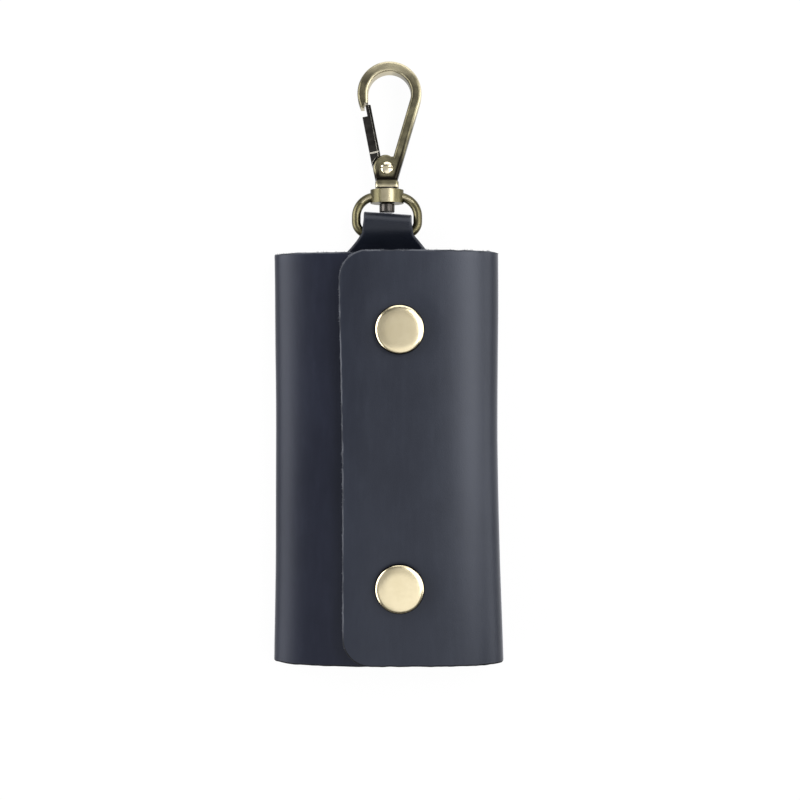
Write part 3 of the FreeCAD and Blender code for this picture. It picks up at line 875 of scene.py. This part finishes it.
def strap_leather():
    """The loop: a strip folded round the ring's bar, with both ends flared and let into the case."""
    fold_r = (strap_high.z - strap_low.z) / 2
    fold_y = strap_high.y - fold_r
    root_y = strap_low.y
    root_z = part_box("key_rail")[0].z
    turn = np.linspace(-math.pi / 2, math.pi / 2, fold_samples)
    top_y = np.linspace(fold_y, root_y, fold_samples)
    top_z = root_z + (strap_high.z - root_z) * smooth_share(top_y, strap_slope_low, strap_slope_top)
    y = np.concatenate([[root_y], fold_y + fold_r * np.cos(turn), top_y[1:]])
    z = np.concatenate([[strap_low.z], strap_low.z + fold_r + fold_r * np.sin(turn), top_z[1:]])
    line = Fold(y, z)
    across = np.linspace(0.0, 1.0, round(line.length / (leather_step / 2)))
    along = np.linspace(-1.0, 1.0, round(2 * strap_root_half / leather_step))

    def on_top(s):
        return smooth_share(s, fold_y - root_y, fold_y - root_y + 2 * fold_r)

    def half_width(s):
        here = line.at(s)[0]
        ease = strap_ease * smooth_share(-here, -strap_ease_top, -strap_ease_low)
        down = np.clip((strap_flare_top - here) / (strap_flare_top - strap_flare_low), 0.0, 1.0)
        flare = (strap_root_half - strap_half - strap_ease) * down ** strap_flare_power
        return strap_half + ease + flare

    def flat(a, b, inset):
        s = inset + a * (line.length - 2 * inset)
        here = line.at(s)[0]
        apart = (1 - on_top(s)) * smooth_share(-here, -strap_ease_top, -strap_ease_low)
        return s, b * (half_width(s) - inset) + strap_under_shift * apart

    def edge_distance(s, w):
        return np.clip(half_width(s) - np.abs(w), 0.0, None)

    def fold(s, w, depth):
        here, height, out_y, out_z = line.at(s)
        skew = strap_skew_share * w * smooth_share(here, strap_skew_low, fold_y)
        return np.stack([w, here - skew - out_y * depth, height - out_z * depth], 1)

    skin = [finishes["shaded_tab"], finishes["cut_edge"], finishes["flesh"]]
    piece = cut_sheet("strap_leather", across, along, flat, fold, edge_distance, strap, skin)
    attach(piece, "case_back")
    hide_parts("loop_strap")


# Metal

def stand_for(piece, node, slot):
    """The piece moves with the solid that it stands for and takes its place."""
    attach(piece, nodes[node]["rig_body"])
    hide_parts(node)


def edges_rubbed(places, normals):
    """Rounded-off edges are rubbed bright, upright walls half as much, and broad faces not at all."""
    wall_wear = 0.5
    ups = np.abs(normals[:, 2])
    off_face = smooth_share(-ups, -0.97, -0.75)
    off_wall = smooth_share(ups, 0.05, 0.3)
    return off_face * (wall_wear + (1 - wall_wear) * off_wall)


def crown_light_marks(places, normals):
    """The swivel's boss has a painted highlight along its crown and painted shade at its left end."""
    crown_highlight = 0.46
    end_shade = 0.4
    boss_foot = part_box("swivel_ring")[1].y - boss_height
    crown = crown_highlight * smooth_share(np.abs(normals[:, 2]), 0.9, 0.995)
    end_shaded = end_shade * smooth_share(-normals[:, 0], 0.25, 0.55)
    return (crown - end_shaded) * (places[:, 1] > boss_foot)


def hook_wear_and_light(places, normals):
    """The hook's edge wear is kept to its right-hand edges as painted highlights, with painted highlights on
    its eye and its collar's lip, and painted shade in its groove.
    """
    eye_turn = -0.45
    base_turn = 0.3
    turn_run = 0.4
    eye_highlight = 0.42
    lip_highlight = 0.6
    groove_shade = 1.0
    height = places[:, 1]
    turned = np.where(height > base_top, eye_turn, base_turn)
    worn_and_lit = edges_rubbed(places, normals) * smooth_share(normals[:, 0], turned, turned + turn_run)
    worn_and_lit = np.maximum(worn_and_lit, eye_highlight * smooth_share(height, eye_bright_low, eye_bright_high))
    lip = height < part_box("hook_body")[0].y + collar_lip
    groove = (height > collar_top) & (height < base_low)
    return np.where(height > base_low, worn_and_lit, lip_highlight * lip - groove_shade * groove)


def gate_highlights(places, normals):
    """The gate has painted highlights along both edges of its right-hand chamfer and on the ramp at its
    foot.
    """
    chamfer_up = math.sqrt(0.5)
    right_turn = 0.2
    ramp_turn = 0.4
    ups = np.abs(normals[:, 2])
    along = smooth_share(np.abs(ups - chamfer_up), 0.05, 0.15) * smooth_share(ups, 0.1, 0.3)
    edges = along * smooth_share(-ups, -0.98, -0.93) * (normals[:, 0] > right_turn)
    ramp = (normals[:, 1] > ramp_turn) * (ups > ramp_turn)
    return np.maximum(edges, ramp)


def unrubbed(places, normals):
    return 0.0 * normals[:, 2]


def dressed(node, slot, finish, bevel, light_and_wear_marker):
    """A solid's own shape with its sharp edges eased and a finish on it."""
    flat_turn = math.radians(0.4)
    edge_turn = math.radians(38.0)
    bevel_steps = 3
    mesh = nodes[node].data.copy()
    mesh.materials.clear()
    work = bmesh.new()
    work.from_mesh(mesh)
    bmesh.ops.remove_doubles(work, verts=work.verts, dist=merge_gap)
    bmesh.ops.dissolve_limit(work, angle_limit=flat_turn, verts=work.verts, edges=work.edges)
    work.to_mesh(mesh)
    work.free()
    mesh.materials.append(finishes[finish])
    mesh.shade_smooth()
    piece = new_piece(node + "_metal", mesh)
    ease = piece.modifiers.new("ease", "BEVEL")
    ease.width = bevel
    ease.segments = bevel_steps
    ease.limit_method = "ANGLE"
    ease.angle_limit = edge_turn
    ease.use_clamp_overlap = True
    even = piece.modifiers.new("even", "WEIGHTED_NORMAL")
    even.keep_sharp = True
    converted(piece)
    places = np.array([vertex.co for vertex in piece.data.vertices])
    normals = np.array([normal.vector for normal in piece.data.vertex_normals])
    # Marks of wear, painted highlights and painted shade, stored on the piece
    rubbed_and_lit = piece.data.attributes.new("rubbed_and_lit", "FLOAT", "POINT")
    rubbed_and_lit.data.foreach_set("value", light_and_wear_marker(places, normals))
    stand_for(piece, node, slot)


def snap_cap(side):
    """A low crown that rounds off into a rolled rim, painted dark with shade where it meets the leather."""
    low, high = cap_boxes[side]
    sizes = {"Radius": cap_r, "Waist": cap_waist, "Crown": cap_height - cap_waist, "Power": 2 / cap_power}
    build = Build(side + "_rolled_cap", sizes)
    radius, waist, crown, power = [build.given(name) for name in sizes]
    sockets = {"Size X": 1.0, "Size Y": 1.0, "Vertices X": cap_rings, "Vertices Y": cap_spokes}
    grid = build.node("GeometryNodeMeshGrid", None, sockets)
    # The grid's X runs from the crown's middle over the rim to the foot, and its Y once round
    place = build.node("GeometryNodeInputPosition")
    out = build.node("ShaderNodeSeparateXYZ", None, {0: place}, "X") + 0.5
    turn = (build.node("ShaderNodeSeparateXYZ", None, {0: place}, "Y") + 0.5) * (2 * math.pi)
    over = (1 - (out.share(0.0, cap_dome_share) * math.pi).cosine()) * (math.pi / 4)
    roll = out.share(cap_dome_share, cap_foot_share) * (math.pi / 2)
    under = out.share(cap_foot_share, 1.0)
    spoke = radius * over.sine() ** power - waist * (1 - roll.cosine()) - (radius - waist) * under
    level = waist + crown * over.cosine().most(0.0) ** power - waist * roll.sine()
    centre = ((low.x + high.x) / 2, (low.y + high.y) / 2, high.z - cap_height)
    spot = (spoke * turn.cosine(), spoke * turn.sine(), level)
    sockets = {axis: away + middle for axis, away, middle in zip("XYZ", spot, centre)}
    spot = build.node("ShaderNodeCombineXYZ", None, sockets)
    # The rim takes a negative mark: painted shade, a dark ring where the cap meets the leather
    sockets = {"Geometry": grid, "Name": "rubbed_and_lit", "Value": 0 - over.step(cap_rim_low, cap_rim_high)}
    marked = build.node("GeometryNodeStoreNamedAttribute", {"data_type": "FLOAT"}, sockets)
    shape = build.node("GeometryNodeSetPosition", None, {"Geometry": marked, "Position": spot})
    closed = build.node("GeometryNodeMergeByDistance", None, {"Geometry": shape, "Distance": merge_gap})
    smooth = build.node("GeometryNodeSetShadeSmooth", None, {0: closed})
    base = bpy.data.meshes.new("cap_base")
    piece = build.made(side + "_snap_cap_metal", base, smooth, finishes["cap_brass"])
    work = bmesh.new()
    work.from_mesh(piece.data)
    bmesh.ops.recalc_face_normals(work, faces=work.faces)
    work.to_mesh(piece.data)
    work.free()
    stand_for(piece, side + "_snap_cap", "cap_brass")


def metal_parts():
    """Every metal solid but the caps keeps its own shape, with its edges eased by so many millimetres."""
    eased = {
        "swivel_ring": 0.25, "swivel_pin": 0.3, "hook_body": 0.12, "gate": 0.16, "gate_screw": 0.08,
        "key_rail": 0.15, "rail_rod": 0.2, "rail_rivet_left": 0.2, "rail_rivet_right": 0.2,
        "gate_spring": 0.01,
    }
    for side in cap_boxes:
        eased.update({side + "_snap_socket": 0.25, side + "_snap_stud": 0.15, side + "_snap_post": 0.15})
        snap_cap(side)
    for name in nodes:
        if name.startswith("key_hook"):
            eased[name] = 0.12
    slots = {part["node"]: part["material_slot"] for part in frame["record"]["subparts"]}
    # Which pieces take painted highlights and painted shade besides their edge wear
    light_and_wear_markers = {
        "swivel_ring": crown_light_marks, "swivel_pin": unrubbed,
        "hook_body": hook_wear_and_light, "gate": gate_highlights,
    }
    own_finishes = {"swivel_ring": "ring_brass", "gate": "gate_steel"}
    for name, bevel in eased.items():
        finish = own_finishes.get(name, slots[name])
        dressed(name, slots[name], finish, bevel * MM, light_and_wear_markers.get(name, edges_rubbed))


# Stage

def white_floor():
    """A floor that looks white to the camera and in reflections, and still takes a shadow."""
    mesh = bpy.data.meshes.new("white_floor")
    corners = [(-1, -1), (1, -1), (1, 1), (-1, 1)]
    mesh.from_pydata([(x * floor_half, y * floor_half, -floor_gap) for x, y in corners], [], [(0, 1, 2, 3)])
    finish = Finish("floor_white")
    finish.surface(floor_white, floor_rough)
    kinds = ("Camera", "Glossy", "Transmission")
    rays = [finish.node("ShaderNodeLightPath", out="Is %s Ray" % kind) for kind in kinds]
    seen = rays[0].most(rays[1]).most(rays[2])
    glow = finish.node("ShaderNodeEmission", None, {"Color": pure_white, "Strength": 1.0})
    lit = Field(finish, finish.shader.outputs["BSDF"])
    both = finish.node("ShaderNodeMixShader", None, {0: seen * floor_white_share, 1: lit, 2: glow})
    finish.feed(finish.tree.nodes["Material Output"].inputs["Surface"], both)
    mesh.materials.append(finish.material)
    new_piece("white_floor", mesh)


def soft_light(name, place, aim, size, radiance):
    """A soft panel: its size is across and up, and its strength is how bright its face looks."""
    lamp = bpy.data.lights.new(name, "AREA")
    lamp.shape = "RECTANGLE"
    lamp.size, lamp.size_y = size
    lamp.energy = math.pi * size[0] * size[1] * radiance
    holder = bpy.data.objects.new(name, lamp)
    holder.visible_camera = False
    bpy.context.scene.collection.objects.link(holder)
    below = (place[0], place[1], 0.0)
    direction = Vector(aim or below) - Vector(place)
    holder.matrix_world = Matrix.Translation(place) @ direction.to_track_quat("-Z", "Y").to_matrix().to_4x4()


def studio():
    for name, panel in soft_panels.items():
        soft_light(name, *panel)
    world = bpy.data.worlds.new("plain_room")
    world.use_nodes = True
    world.node_tree.nodes["Background"].inputs["Color"].default_value = pure_white
    world.node_tree.nodes["Background"].inputs["Strength"].default_value = room_light
    bpy.context.scene.world = world
    bpy.context.scene.view_settings.view_transform = "Standard"


def photo_camera():
    lens = bpy.data.cameras.new("photo_camera")
    lens.sensor_width = camera_sensor
    lens.lens = camera_lens
    lens.clip_start = camera_near
    holder = bpy.data.objects.new("photo_camera", lens)
    holder.location = camera_place
    bpy.context.scene.collection.objects.link(holder)
    bpy.context.scene.camera = holder


photo_camera()
studio()
white_floor()
wrap_leather()
strap_leather()
metal_parts()
